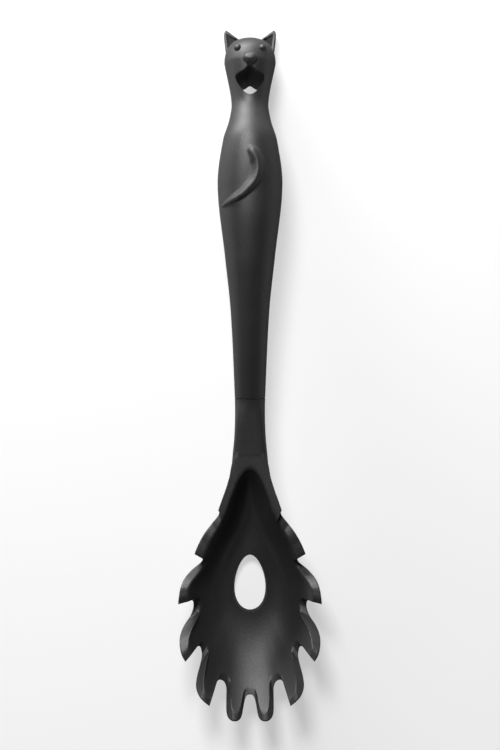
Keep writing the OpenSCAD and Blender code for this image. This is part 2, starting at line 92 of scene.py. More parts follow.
# %% [markdown]
# ## Smooth curves through a few values
# A moulded tool has flowing outlines. A curve through a short list of values gives them without a
# long list of points: `curve` goes through evenly spaced values, `along` through pairs of station
# and value. Both use the cubic that passes through each value with the slope of its neighbours.

# %% Curves
def cubic(a, b, slope_a, slope_b, s):
    """The smooth step from a to b with the given slopes, at share s of the way."""
    return (
        (2 * s**3 - 3 * s**2 + 1) * a + (s**3 - 2 * s**2 + s) * slope_a
        + (3 * s**2 - 2 * s**3) * b + (s**3 - s**2) * slope_b
    )


def curve(values, t):
    last = len(values) - 1
    i = min(int(t), last - 1)
    before, after = values[max(i - 1, 0)], values[min(i + 2, last)]
    a, b = values[i], values[i + 1]
    return cubic(a, b, (b - before) / 2, (after - a) / 2, t - i)


def along(pairs, v):
    last = len(pairs) - 1
    i = max((k for k in range(last) if v >= pairs[k][0]), default=0)

    def slope(k):
        a, b = pairs[max(k - 1, 0)], pairs[min(k + 1, last)]
        return (b[1] - a[1]) / (b[0] - a[0])

    h = pairs[i + 1][0] - pairs[i][0]
    return cubic(pairs[i][1], pairs[i + 1][1], slope(i) * h, slope(i + 1) * h, (v - pairs[i][0]) / h)


def ease(x):
    """From 0 to 1 without a corner at either end."""
    s = min(max(x, 0), 1)
    return s * s * (3 - 2 * s)


def mix(a, b, share):
    return a + (b - a) * share


print("half way up a curve through 0, 1, 0:", round(curve([0, 1, 0], 0.5), 3))

# %% [markdown]
# ## From a flat sheet to a form
# Walls and lofts start as a flat grid. Each of its points is then moved to its place on the form,
# which keeps the neat rows that a loft needs. Where the sheet meets itself its doubles are merged,
# open ends are filled and the faces are turned outwards.

# %% Sheets and closed forms
def moved_sheet(columns, rows, place):
    """A grid whose point in each column and row goes to place(column, row)."""
    bm = bmesh.new()
    bmesh.ops.create_grid(bm, x_segments=columns, y_segments=rows, size=1)
    for v in bm.verts:
        v.co = place(round((v.co.x + 1) / 2 * columns), round((v.co.y + 1) / 2 * rows))
    return bm


def close_up(bm):
    bmesh.ops.remove_doubles(bm, verts=bm.verts, dist=0.001 * MM)
    bmesh.ops.holes_fill(bm, edges=bm.edges, sides=0)
    bmesh.ops.recalc_face_normals(bm, faces=bm.faces)
    return bm


def new_piece(name, *parts):
    """One mesh object from one or more finished bmeshes."""
    mesh = bpy.data.meshes.new(name)
    whole = bmesh.new()
    for bm in parts:
        bm.to_mesh(mesh)
        bm.free()
        whole.from_mesh(mesh)
    whole.to_mesh(mesh)
    whole.free()
    piece = bpy.data.objects.new(name, mesh)
    bpy.context.scene.collection.objects.link(piece)
    return piece


# %% [markdown]
# ## The rim of the bowl
# Seen from the front the bowl is a leaf drawn round its egg-shaped drain hole, so its outline is
# given round the middle of that hole: an angle from the crown of the arch, and a distance as a share
# of half the width. Each tooth has two curves, its outer outline and the inner edge of the rim band,
# from the notch above it to its tip. The step from one tooth to the next is the cut of its notch.

# %% Outlines of the teeth
TEETH = [
    (
        [(-5.2, 1.858), (0, 1.883), (5.2, 1.858), (8.4, 1.710), (10.7, 1.537), (14.5, 1.367),
            (19, 1.231), (22.8, 1.136)],
        [(-2.1, 1.596), (0, 1.611), (2.1, 1.596), (4.1, 1.549), (5.8, 1.481), (10.1, 1.302),
            (15, 1.142), (18, 1.062), (22.8, 0.975)],
    ),
    (
        [(22.8, 1.102), (24.5, 1.068), (30, 1.022), (35.4, 0.991), (46.7, 0.938), (55, 0.907),
            (60.5, 0.889)],
        [(22.8, 0.969), (28, 0.910), (33, 0.864), (45, 0.793), (53.6, 0.756), (60.5, 0.735)],
    ),
    (
        [(60.5, 0.790), (61.4, 0.762), (63, 0.750), (67.4, 0.765), (75.5, 0.840), (85, 0.926),
            (92.9, 0.972), (99, 1.000), (104, 1.028)],
        [(60.5, 0.716), (63, 0.691), (66, 0.682), (71, 0.691), (77, 0.725), (84, 0.781), (90, 0.821),
            (96, 0.843), (104, 0.870)],
    ),
    (
        [(104, 0.864), (105.2, 0.840), (107.7, 0.833), (113, 0.864), (118, 0.948), (121.6, 1.080),
            (125.3, 1.185), (129.5, 1.265), (135.1, 1.340), (139.4, 1.373)],
        [(104, 0.772), (106, 0.738), (109.4, 0.722), (114.5, 0.750), (119, 0.796), (122.8, 0.858),
            (126, 0.957), (129.7, 1.071), (133.9, 1.164), (139.4, 1.244)],
    ),
    (
        [(139.4, 1.133), (140.4, 1.111), (141.8, 1.114), (143.4, 1.136), (146.1, 1.198),
            (148.1, 1.312), (149.9, 1.469), (151.8, 1.586), (155, 1.673), (158, 1.716), (161.3, 1.750)],
        [(139.4, 1.068), (140.8, 1.028), (142.5, 1.015), (144.2, 1.022), (145.8, 1.040),
            (149.3, 1.123), (151.3, 1.228), (153.2, 1.373), (155.2, 1.500), (158.3, 1.602),
            (161.3, 1.648)],
    ),
    (
        [(161.3, 1.420), (162, 1.395), (163, 1.386), (164.5, 1.392), (165.8, 1.414), (167, 1.463),
            (167.6, 1.519), (168.6, 1.667), (169.4, 1.784), (170.3, 1.846), (171.8, 1.883),
            (173.2, 1.892), (175, 1.877), (176.4, 1.818), (177.1, 1.664), (177.7, 1.580),
            (178.5, 1.540), (180, 1.528), (181.5, 1.540)],
        [(161.3, 1.340), (162.4, 1.299), (164, 1.287), (165.5, 1.293), (167.2, 1.318), (168.6, 1.377),
            (169.8, 1.491), (170.6, 1.620), (171.6, 1.716), (173.2, 1.759), (175, 1.747),
            (175.8, 1.660), (176.2, 1.556), (177, 1.472), (178.3, 1.432), (180, 1.420), (181.7, 1.432)],
    ),
]


def round_hole(angle, share):
    """The place at an angle from the arch's crown and a share of half the bowl's width."""
    a = math.radians(angle)
    reach = hole_at / 1.883 if angle > 90 else (arch_at - hole_at) / 1.611
    return Vector((share * math.sin(a) * bowl_w / 2, hole_at + share * math.cos(a) * reach))


def hole_edge(angle, inset):
    """The edge of the drain hole in that direction, and its distance as a share."""
    a = math.radians(angle)
    turn = math.atan2(math.cos(a) * hole_w, math.sin(a) * hole_l)
    p = Vector((
        (hole_w / 2 - inset) * math.cos(turn) * (1 - 0.18 * math.sin(turn)),
        hole_at + inset / 2 + (hole_l / 2 - inset) * math.sin(turn),
    ))
    unit = (round_hole(angle, 1) - Vector((0, hole_at))).length
    return p, (p - Vector((0, hole_at))).length / unit


for outer, inner in TEETH:
    reach = round(outer[-1][1] * bowl_w / 2 / MM, 1)
    print("tooth from", outer[0][0], "to", outer[-1][0], "degrees, ends", reach, "mm out")

# %% [markdown]
# ## The wall of the bowl
# Inside and outside are two smooth dishes. Each rises from the drain hole towards a full rim
# without notches: slowly near the hole and steeper outwards, and highest at the sides. A tooth only
# says how far out its wall goes. The full rims, the heights of the rim and the steepness of the
# rise are curves over the angle, so the whole bowl changes shape without a corner.

# %% The two dishes
FULL_IN = [
    (-8, 1.404), (0, 1.617), (8, 1.404), (15, 1.157), (23, 1.000), (34, 0.883), (47, 0.809),
    (60, 0.772), (75, 0.784), (90, 0.833), (104, 0.892), (120, 1.019), (135, 1.204), (150, 1.438),
    (161, 1.654), (170, 1.775), (180, 1.815), (190, 1.775),
]
FULL_OUT = [
    (-6, 1.852), (0, 1.889), (5.2, 1.864), (8.4, 1.716), (10.7, 1.543), (14.5, 1.373),
    (22.8, 1.145), (35, 1.000), (47, 0.948), (60.5, 0.910), (75, 0.923), (90, 0.969), (104, 1.037),
    (120, 1.170), (137, 1.377), (150, 1.574), (161, 1.756), (170, 1.861), (180, 1.895), (190, 1.861),
]
# Height of the rim as a share of the bowl's, how much lower its outside lies, powers of the rise
RISE = [
    (-23, 0.92), (0, 0.905), (23, 0.92), (45, 0.94), (61, 0.955), (85, 0.98), (104, 1), (125, 1),
    (139, 0.97), (152, 0.92), (161, 0.855), (170, 0.785), (180, 0.76), (190, 0.785),
]
LEAN = [
    (-15, 0.8), (-8, 0.2), (0, 0.05), (8, 0.2), (15, 0.8), (23, 1.15), (45, 1.2), (58, 1.15),
    (75, 0.65), (104, 0.7), (130, 0.56), (150, 0.62), (161, 0.84), (170, 0.97), (180, 1), (190, 0.97),
]
STEEP_IN = [
    (-10, 3.5), (0, 3.5), (23, 3.4), (61, 3.5), (82, 3.3), (104, 3), (139, 2.4), (161, 1.9),
    (180, 1.75), (199, 1.9),
]
STEEP_OUT = [
    (-10, 4), (0, 4), (10, 4), (23, 3.9), (61, 3.6), (82, 3.3), (104, 3), (139, 2.6), (161, 2.2),
    (180, 2.1), (199, 2.2),
]


def dish(angle, inside):
    """Everything that a section at this angle shares: a function from a share to a point."""
    hole, start = hole_edge(angle, 0 if inside else 0.7 * MM)
    full = along(FULL_IN if inside else FULL_OUT, angle)
    far = round_hole(angle, full)
    low = floor_t + 0.168 * (hole.y - 50 * MM) ** 2 / bowl_w - (0 if inside else floor_t)
    top = along(RISE, angle) * bowl_h - (0 if inside else along(LEAN, angle) * rim_drop)
    steep = along(STEEP_IN if inside else STEEP_OUT, angle)

    def point(share):
        s = max((share - start) / (full - start), 0)
        p = hole.lerp(far, s)
        return Vector((p.x, p.y - overall_l / 2, low + (top - low) * s**steep))

    return point, start, mix(start, full, 0.5)


deepest, start, ring = dish(150, True)
print("inside height half way out", round(deepest(ring).z / MM, 1), "mm")

# %% [markdown]
# ## Where the sections lie
# The wall is built from sections at many angles, closest together where a tooth's outline turns. At
# a notch the end of one tooth meets the start of the next at almost the same angle. Points of two
# such sections that lay a hair apart would draw a fine line across the dish, so both take the same
# points for as far as the shorter one reaches.

# %% Places of the sections
soft_in, soft_out = 0.9 * MM, 0.45 * MM
roll_share = soft_in / (bowl_w / 2)
COLUMNS = (60, 44, 60, 60, 70, 110)
notch_gap = 0.02


def rim_angle(tooth, share):
    """Angles along a tooth, closest together where its outline turns."""
    knots = [p[0] for p in TEETH[tooth][0]]
    first, last = (1 if tooth == 0 else 0), len(knots) - (2 if tooth == 5 else 1)
    k = mix(first, last, share)
    i = min(int(k), len(knots) - 2)
    return mix(knots[i], knots[i + 1], k - i)


def rolls(tooth, angle):
    """The shares at which a section leaves the inside and meets the outside again."""
    outer, inner = TEETH[tooth]
    return along(inner, angle) - roll_share, along(outer, angle) - roll_share / 2


def limits(tooth, end):
    """At a tooth's first or last angle, how far its section runs together with its neighbour's."""
    angle = rim_angle(tooth, end)
    mine, beside = rolls(tooth, angle), tooth + (1 if end else -1)
    if not 0 <= beside < len(TEETH):
        return mine
    return tuple(min(pair) for pair in zip(mine, rolls(beside, angle)))


places = []
for tooth, columns in enumerate(COLUMNS):
    first, last = limits(tooth, 0), limits(tooth, 1)
    for k in range(columns + 1):
        nudge = notch_gap * ((k == 0 and tooth > 0) - (k == columns and tooth < 5))
        shared = [mix(a, b, k / columns) for a, b in zip(first, last)]
        places.append((tooth, rim_angle(tooth, k / columns) + nudge, shared))
print("sections", len(places))

# %% [markdown]
# ## One section of the wall
# A section leaves the hole on the inside, turns over the rim band and comes back on the outside. The
# band is nearly level and tilts a little towards the handle, which makes all teeth catch the light
# evenly. Towards the tip of a tooth it rises. On the legs of the arch it is flush with the front of
# the shank. Both of its edges are rounded, the inner one more.

# %% Section of the wall
STEPS, ROLL, BAND = 12, 6, 5
band_tilt, band_sink, tip_rise = 0.9 * MM, 0.15 * MM, 1.1 * MM
# Height of the legs of the arch: station and height
LEG_TOP = [(88, 23.2), (95, 23.1), (105, 22.8), (114, 22.6), (122, 22.7)]
LEG_TOP = [(station * MM, height * MM) for station, height in LEG_TOP]
crown_drop = 0.15 * MM


def rounded(a, corner, b, s):
    """A point on the soft turn from a to b that a corner between them is rounded to."""
    return a * (1 - s) ** 2 + corner * (2 * s * (1 - s)) + b * s**2


def level_band(tooth, angle, corner, tip):
    """Sets the heights of the band's inner corner and its outer tip."""
    if tooth == 0:
        corner.z, tip.z = (along(LEG_TOP, p.y + overall_l / 2) for p in (corner, tip))
        tip.z -= crown_drop * ease((11 - angle) / 4)
        return
    fall = band_tilt * math.cos(math.radians(angle)) - band_sink
    corner.z = max(corner.z, (corner.z + tip.z + fall) / 2)
    if tooth < 5:
        first, last = TEETH[tooth][0][0][0], TEETH[tooth][0][-1][0]
        corner.z += tip_rise * ((angle - first) / (last - first)) ** 3
    tip.z = corner.z - fall


def wall_rows(tooth, angle, shared):
    """The points of one section: up the inside, over the rim band and back below."""
    inside, start_in, ring_in = dish(angle, True)
    outside, start_out, ring_out = dish(angle, False)
    edge_out, edge_in = (along(outline, angle) for outline in TEETH[tooth])
    roll_in, roll_out = rolls(tooth, angle)
    same_in, same_out = (min(pair) for pair in zip(shared, (roll_in, roll_out)))
    corner, tip = inside(edge_in), outside(edge_out)
    level_band(tooth, angle, corner, tip)
    sag = max(0, outside(edge_out).z - tip.z)

    def below(share):
        """The outside, bent down towards the rim where the band lies lower."""
        p = outside(share)
        p.z -= sag * max(0, (share - ring_out) / (edge_out - ring_out)) ** 3
        return p

    band = (tip - corner).length
    crest = corner.lerp(tip, min(soft_in / band, 0.4))
    far = tip.lerp(corner, min(soft_out / band, 0.4))
    rows = []
    for a, b in ((start_in, ring_in), (ring_in, same_in), (same_in, roll_in)):
        rows += [inside(mix(a, b, k / STEPS)) for k in range(STEPS)]
    rows += [rounded(inside(roll_in), corner, crest, k / ROLL) for k in range(ROLL)]
    rows += [crest.lerp(far, k / BAND) for k in range(BAND)]
    rows += [rounded(far, tip, below(roll_out), k / ROLL) for k in range(ROLL)]
    for a, b in ((roll_out, same_out), (same_out, ring_out), (ring_out, start_out)):
        rows += [below(mix(a, b, k / STEPS)) for k in range(STEPS)]
    return rows + [below(start_out), rows[0]]


sections = [wall_rows(*place) for place in places]
print("points in a section", len(sections[0]))

# %% [markdown]
# ## Half of the bowl, mirrored
# Side by side the sections make a sheet that runs from the crown of the arch round one side to the
# middle of the front. It is mirrored, so both sides are the same, and then closed.

# %% Bowl
bowl = moved_sheet(len(sections) - 1, len(sections[0]) - 1, lambda column, row: sections[column][row])
everything = bowl.verts[:] + bowl.edges[:] + bowl.faces[:]
bmesh.ops.mirror(bowl, geom=everything, axis="X", merge_dist=0.001 * MM)
close_up(bowl)
print("bowl faces", len(bowl.faces), "open edges", sum(e.is_boundary for e in bowl.edges))

# %% [markdown]
# ## The line through shank and handle
# The tool bends twice between bowl and ears. One line through the middle of it, given as height at
# a few stations, carries every section, so the cat keeps its shape when the line changes. Stations
# of the cat are counted back from the ear tips.

# %% Spine, widths and depths
def from_ears(distance):
    return overall_l - distance * MM


grip, hip, belly, chest, neck, cheek = (from_ears(d) for d in (126.5, 102.5, 70.5, 50.5, 33, 15.4))
nape = (chest + neck) / 2
crown_h = 11.4 * MM
crown = cheek + crown_h
grip_z, hip_z, belly_z, chest_z = 22.1 * MM, 22.9 * MM, 20.5 * MM, 19.6 * MM
neck_z, cheek_z, crown_z = 14.4 * MM, 10.7 * MM, 7.8 * MM
grip_w, hip_w, belly_w, chest_w, neck_w, cheek_w = (w * MM for w in (17.3, 22.3, 29, 24.3, 16.6, 23.1))
grip_d, hip_d, belly_d, chest_d, neck_d, cheek_d = (d * MM for d in (14.2, 18.6, 23.4, 20, 15.4, 20.6))

SPINE = [
    (arch_at, arch_z), (mix(arch_at, seam_at, 0.36), mix(arch_z, seam_z, 0.25)), (seam_at, seam_z),
    (mix(seam_at, grip, 0.54), mix(seam_z, grip_z, 0.59)), (grip, grip_z), (hip, hip_z),
    (mix(hip, belly, 0.56), mix(hip_z, belly_z, 0.3)), (belly, belly_z), (chest, chest_z),
    (neck, neck_z), (cheek, cheek_z), (crown, crown_z),
]
HALF_W = [
    (arch_at, bowl_w * 0.131), (mix(arch_at, seam_at, 0.19), bowl_w * 0.121),
    (mix(arch_at, seam_at, 0.45), shank_w * 0.518), (mix(arch_at, seam_at, 0.74), shank_w * 0.493),
    (seam_at, shank_w / 2), (grip, grip_w / 2), (hip, hip_w / 2), (belly, belly_w / 2),
    (chest, chest_w / 2), (nape, neck_w * 0.35 + chest_w * 0.15), (neck, neck_w / 2),
    (cheek, cheek_w / 2),
]
HALF_D = [
    (arch_at, shank_d * 0.515), (mix(arch_at, seam_at, 0.74), shank_d * 0.495), (seam_at, shank_d / 2),
    (grip, grip_d / 2), (hip, hip_d / 2), (belly, belly_d / 2), (chest, chest_d / 2),
    (nape, neck_d * 0.35 + chest_d * 0.15), (neck, neck_d / 2), (cheek, cheek_d / 2),
]


@functools.cache
def spine(v):
    return along(SPINE, v)


@functools.cache
def tilt(v):
    return math.atan((spine(v + MM) - spine(v - MM)) / (2 * MM))


def dome(v):
    s = min(max((v - cheek) / crown_h, 0), 1)
    return (1 - s**2.4) ** (1 / 2.4)


@functools.cache
def half_w(v):
    return along(HALF_W, v) if v <= cheek else dome(v) * cheek_w / 2


@functools.cache
def half_d(v):
    return along(HALF_D, v) if v <= cheek else dome(v) * cheek_d / 2


def on_spine(v, x, w):
    """The point at a station, x across and w out towards the front."""
    return Vector((x, v - overall_l / 2 - w * math.sin(tilt(v)), spine(v) + w * math.cos(tilt(v))))


def oval(v, a, b, turn, square=2):
    """A point on an oval section, or on a squarer one, at a share of a full turn."""
    c, s = math.cos(turn * math.tau), math.sin(turn * math.tau)
    e = 2 / square
    return on_spine(v, a * math.copysign(abs(c) ** e, c), b * math.copysign(abs(s) ** e, s))


for name, v in (("belly", belly), ("neck", neck)):
    print("spine height in mm at the", name, round(spine(v) / MM, 1))

# %% [markdown]
# ## Shank and tang
# The two arms of the bowl run into a flat shank with rounded sides, which turns oval where the
# handle starts. Its lower end slants back like the bowl's wall, so that it starts inside that wall,
# and its front dips under the band of the arch there. A thinner tang goes on inside the handle and
# carries it. Both are one loft.

# %% Shank and tang
AROUND = 72
dip_l, start_slant, narrow_start = 7.4 * MM, 6.5 * MM, 0.15
shank_rows = [(arch_at + (seam_at - arch_at) * k / 40, 0) for k in range(1, 41)]
shank_rows += [(seam_at + tang_l * k / 12, 1) for k in range(13)]


def shank_point(column, row):
    v, inner = shank_rows[row]
    if inner:
        return oval(v, tang_w / 2, tang_d / 2, column / AROUND, 5)
    share = (v - arch_at) / (seam_at - arch_at)
    square = 2 + 4 * (1 - ease(share * share))
    under_band = 0.05 * max(0, (arch_at + dip_l - v) / (4.5 * MM)) ** 2
    keep = 1 - (under_band if column < AROUND / 2 else narrow_start * (1 - ease(share * 5)))
    width = half_w(v) * (1 - narrow_start * (1 - ease(share * 9)))
    p = oval(v, width, half_d(v) * keep, column / AROUND, square)
    up = math.sin(column / AROUND * math.tau)
    back = (1 - math.copysign(abs(up) ** (2 / square), up)) / 2
    p.y -= start_slant * back**1.3 * (1 - ease(share * 4))
    return p


shank = close_up(moved_sheet(AROUND, len(shank_rows) - 1, shank_point))
print("shank faces", len(shank.faces), "open edges", sum(e.is_boundary for e in shank.edges))


# %% [markdown]
# ## One skin
# Injection moulding gives one skin. The bowl and its shank already have their rounded edges, so an
# exact union joins them and keeps the teeth crisp. The cat's tail flows into its belly: there a
# voxel remesh melts the forms into one, and a few rounds of vertex smoothing fill the corners
# between them, the way a tool maker blends a mould.

# %% Melt, soften and cut
def with_modifier(piece, kind, **settings):
    """Puts a modifier's result into the piece's own mesh."""
    modifier = piece.modifiers.new(kind, kind)
    for name, value in settings.items():
        setattr(modifier, name, value)
    ready = piece.evaluated_get(bpy.context.evaluated_depsgraph_get())
    mesh = bpy.data.meshes.new_from_object(ready)
    piece.modifiers.remove(modifier)
    piece.data = mesh
    mesh.name = piece.name
    return piece


def melt(piece, voxel, passes):
    with_modifier(piece, "REMESH", mode="VOXEL", voxel_size=voxel)
    bm = bmesh.new()
    bm.from_mesh(piece.data)
    every_axis = {"use_axis_x": True, "use_axis_y": True, "use_axis_z": True}
    for _ in range(passes):
        bmesh.ops.smooth_vert(bm, verts=bm.verts, factor=0.5, **every_axis)
    bm.to_mesh(piece.data)
    bm.free()
    print(piece.name, "faces", len(piece.data.polygons))
    return piece


def cut(piece, tool, operation="DIFFERENCE", keep_tool=False):
    with_modifier(piece, "BOOLEAN", operation=operation, object=tool, solver="MANIFOLD")
    if not keep_tool:
        bpy.data.objects.remove(tool)
    return piece


server_head = cut(new_piece("nylon_server_head", bowl), new_piece("shank", shank), "UNION")
print(server_head.name, "faces", len(server_head.data.polygons))

# %% [markdown]
# ## The body of the cat
# The cat is one flowing solid before any detail: oval sections grow from the grip to a round belly,
# shrink to the neck and swell again to a domed head. The rows lie closer together over the dome.

# %% Body
body_rows = [mix(seam_at, cheek, k / 200) for k in range(201)]
body_rows += [cheek + crown_h * math.sin(math.radians(90 * k / 30)) ** (2 / 2.4) for k in range(1, 31)]


def body_point(column, row):
    v = body_rows[row]
    return oval(v, half_w(v), half_d(v), column / 96)


body = close_up(moved_sheet(96, len(body_rows) - 1, body_point))
print("body faces", len(body.faces), "open edges", sum(e.is_boundary for e in body.edges))

# %% [markdown]
# ## The tail
# The tail is a low crescent on the belly: thin at the left flank, widest near its rounded end on the
# right. It follows a short path drawn on the belly, and its section is a flattened arch that sinks a
# little into the body so that both melt together. In its middle the inner side runs out softly into
# the belly, and only the outer side stands up, so the arch is mixed with a gentle slope there.

# %% Tail
tail_w, tail_l, tail_h = 5.7 * MM, 26 * MM, 1.9 * MM
TAIL = [
    (-0.86, -0.373), (-0.65, -0.296), (-0.345, -0.196), (-0.04, -0.038), (0.14, 0.081),
    (0.235, 0.227), (0.235, 0.385), (0.14, 0.542), (-0.02, 0.631),
]
TAIL = [Vector((x * belly_w / 2, belly + y * tail_l)) for x, y in TAIL]
TAIL_WIDTH = [0.12, 0.4, 0.62, 0.8, 0.92, 1, 0.98, 0.86, 0.7]


def front_z(x, v):
    return spine(v) + half_d(v) * math.sqrt(max(0, 1 - (x / half_w(v)) ** 2))


def tail_point(column, row):
    t = row / 10
    middle = curve(TAIL, t)
    run = (curve(TAIL, min(t + 0.05, 8)) - curve(TAIL, max(t - 0.05, 0))).normalized()
    across, up = math.cos(column / 32 * math.tau), math.sin(column / 32 * math.tau)
    end = math.sqrt(1 - max(0, (t - 7.1) / 0.9) ** 2 * 0.99)
    merged = ease((t - 1) / 1.5) * (1 - ease((t - 5.6) / 1.3))
    side = tail_w / 2 * curve(TAIL_WIDTH, t) * across * end * (1 + 0.4 * merged * (across < 0))
    x, v = middle.x + side * run.y, middle.y - side * run.x
    sink = 0.26 * tail_h
    height = (tail_h * min(1, 0.3 + t / 3) + sink) * mix(0.3, 1, end)
    arch = max(up, 0) ** 0.6
    if across < 0:
        arch = mix(arch, ease(1 + across) * (up > 0), merged)
    return Vector((x, v - overall_l / 2, front_z(x, v) - sink + height * arch + 2 * sink * min(up, 0)))


tail = close_up(moved_sheet(32, 80, tail_point))
print("tail faces", len(tail.faces))

# %% [markdown]
# ## Face
# Eyes are plain domes. The nose is a ball drawn out sideways to a blunt bar and narrowed in its
# lower half, where it ends over the cusp of the upper lip. All sit on the front of the head, which
# leans back a little, so they are placed in the head's own axes: x across, y up from the cheeks and
# z out from its middle.

# %% Eyes and nose
def head_point(x, y, z):
    lean = tilt(cheek)
    return Vector((
        x,
        cheek - overall_l / 2 + y * math.cos(lean) - z * math.sin(lean),
        cheek_z + y * math.sin(lean) + z * math.cos(lean),
    ))


def face_z(x, y):
    d = dome(cheek + y)
    return d * cheek_d / 2 * math.sqrt(1 - (x / (d * cheek_w / 2)) ** 2)


def ball(middle, size, shape=lambda p: p):
    """A round blob of the given half sizes, changed by shape and set into the face."""
    bm = bmesh.new()
    bmesh.ops.create_uvsphere(bm, u_segments=32, v_segments=20, radius=1)
    for v in bm.verts:
        p = shape(v.co.copy())
        v.co = head_point(*(middle[i] + size[i] * p[i] for i in range(3)))
    bmesh.ops.recalc_face_normals(bm, faces=bm.faces)
    return bm


eye_r = 1.75 * MM
eye_y = crown_h * 0.447
eyes = [
    ball((side * 5.5 * MM, eye_y, face_z(5.5 * MM, eye_y) - 0.25 * eye_r), (eye_r, eye_r, eye_r))
    for side in (-1, 1)
]

nose_w, nose_h = 6.6 * MM, 2.3 * MM


def nose_shape(p):
    """A wide blunt bar above, drawn in below its middle to a narrow rounded end."""
    down = ease((0.05 - p.y) / 1.1)
    wide = math.copysign(abs(p.x) ** 0.65, p.x) * mix(1, 0.6, down)
    return Vector((wide, p.y, p.z * mix(1, 0.85, down)))


nose_at, nose_sunk = (0, -0.6 * MM, cheek_d / 2 - 0.3 * MM), 0.3 * MM
nose = ball(nose_at, (nose_w / 2, 3.1 * MM, nose_h + nose_sunk), nose_shape)
print("eye", round(2 * eye_r / MM, 1), "mm across, nose", round(nose_w / MM, 1), "mm wide")

# %% [markdown]
# ## Ears
# An ear is a rounded plate behind the middle of the head, with an even border round a dark hollow. A
# sheet is wrapped round its outline: the rows go up the side, over the rounded border and down into
# the hollow, and the two open ends are filled. The hollow is deepest at the foot of the ear, so its
# bottom turns away from the light and looks dark.

# %% Ears
ears_w, ear_t = 23.4 * MM, 3.8 * MM
EAR = [
    (0.75, 0.2), (0.915, 0.363), (0.965, 0.6), (1, 0.84), (0.985, 0.94), (0.935, 0.998),
    (0.87, 0.985), (0.64, 0.855), (0.404, 0.713), (0.3, 0.5),
]
HOLLOW = [
    (0.72, 0.3), (0.8, 0.42), (0.845, 0.6), (0.885, 0.8), (0.895, 0.85), (0.875, 0.872),
    (0.85, 0.862), (0.64, 0.775), (0.44, 0.69), (0.36, 0.52),
]
ear_l = 15.4 * MM / math.cos(tilt(cheek)) + 0.05 * ear_t
EAR, HOLLOW = ([Vector((x * ears_w / 2, y * ear_l, 0)) for x, y in points] for points in (EAR, HOLLOW))


# How far in from the outline to the hollow, and how deep in mm: side, rounded border and wall
EAR_ROWS = [(0, -3.8), (0, -0.6), (0.08, -0.3), (0.28, -0.15), (0.8, -0.15), (1, -0.35), (1.08, None)]
foot_depth, tip_depth = -3.3, -0.7


def ear_point(side, column, row):
    inward, depth = EAR_ROWS[row]
    k = column % 90 / 10
    p = curve(EAR, k).lerp(curve(HOLLOW, k), inward)
    if depth is None:
        depth = mix(foot_depth, tip_depth, (p.y / ear_l - 0.3) / 0.57)
    return head_point(side * p.x, p.y, depth * MM)


def ear(side):
    return close_up(moved_sheet(90, len(EAR_ROWS) - 1, functools.partial(ear_point, side)))


ears = [ear(-1), ear(1)]
print("ear height in mm", round(ear_l / MM, 1))

# %% [markdown]
# ## The open mouth
# The mouth is a hole right through the head, and the tool hangs by it. Its outline is an upper lip
# of two lobes that meet in a cusp, over a round chin. A sheet wrapped round this outline makes a bar
# that slants back through the head and widens a little where it leaves the face, which rolls the
# lips over. This bar is taken away from the cat.

# %% Mouth
mouth_w, mouth_l, lip_at = 12.6 * MM, 12.6 * MM, from_ears(16.9)
LIP = [(0, 0), (0.12, -0.02), (0.27, -0.1), (0.5, -0.18), (0.82, -0.24), (0.97, -0.27)]
CHIN = [(1, -0.31), (0.95, -0.43), (0.79, -0.6), (0.56, -0.79), (0.35, -0.91), (0.18, -0.98)]
LIP, CHIN = [Vector(p) for p in LIP], [Vector(p) for p in CHIN]
half = [curve(LIP, k * 5 / 14) for k in range(15)] + [curve(CHIN, k * 5 / 14) for k in range(15)]
outline = half + [Vector((0, -1))] + [Vector((-p.x, p.y)) for p in reversed(half[1:])]
outline = [Vector((p.x * mouth_w / 2, lip_at + p.y * mouth_l)) for p in outline]
lean_back = math.tan(math.radians(24))
# Height over the face in mm, and how far the opening is widened there by the rolled lips
LIP_ROWS = [
    (6, 1.8), (0.3, 0.95), (0, 0.66), (-0.25, 0.42), (-0.6, 0.2), (-1.05, 0.06), (-1.6, 0), (-30, 0),
]


def lip_point(column, row):
    k = column % len(outline)
    p, before, after = outline[k], outline[k - 1], outline[(k + 1) % len(outline)]
    run = (after - before).normalized()
    height, wider = (value * MM for value in LIP_ROWS[row])
    z = cheek_z + cheek_d / 2
    for _ in range(4):
        z = front_z(p.x, p.y + (z - cheek_z - cheek_d / 2) * lean_back)
    z = max(z + height, -3 * MM)
    x, y = p.x - run.y * wider, p.y + run.x * wider + (z - cheek_z - cheek_d / 2) * lean_back
    return Vector((x, y - overall_l / 2, z))


mouth = close_up(moved_sheet(len(outline), len(LIP_ROWS) - 1, lip_point))
print("mouth", round(mouth_w / MM, 1), "x", round(mouth_l / MM, 1), "mm")

# %% [markdown]
# ## Putting the cat together
# Body and tail are melted and smoothed. Eyes, nose and ears meet the head in a clear line, so an
# exact union adds them after that, and the mouth is cut last, through all of it.

# %% The whole cat as one skin
cat = new_piece("cat", body, tail)
melt(cat, 0.3 * MM, 4)
for bm in (*eyes, nose, *ears):
    cut(cat, new_piece("form", bm), "UNION")
cut(cat, new_piece("mouth_bar", mouth))

# %% [markdown]
# ## Two half shells
# The handle is moulded as a front and a back shell, so that it can be hollow, and the two are joined
# round the tang. A loft of the inside is taken away first. Then a thick sheet that follows the
# spine keeps one side for each shell, and stops a hair short of the middle, which leaves the fine
# line that runs down both flanks.

# %% Hollow and split
hollow_end = mix(neck, chest, 0.4)


def hollow_point(column, row):
    v = mix(seam_at - MM, hollow_end, row / 80)
    shrink = 0.999 * ease((hollow_end - v) / (neck - chest) / 0.57) + 0.001
    a, b = (max(half_w(v) - wall, half_w(v) * 0.5), half_d(v) - wall)
    return oval(v, a * min(1, shrink * 3), b * shrink, column / 48)


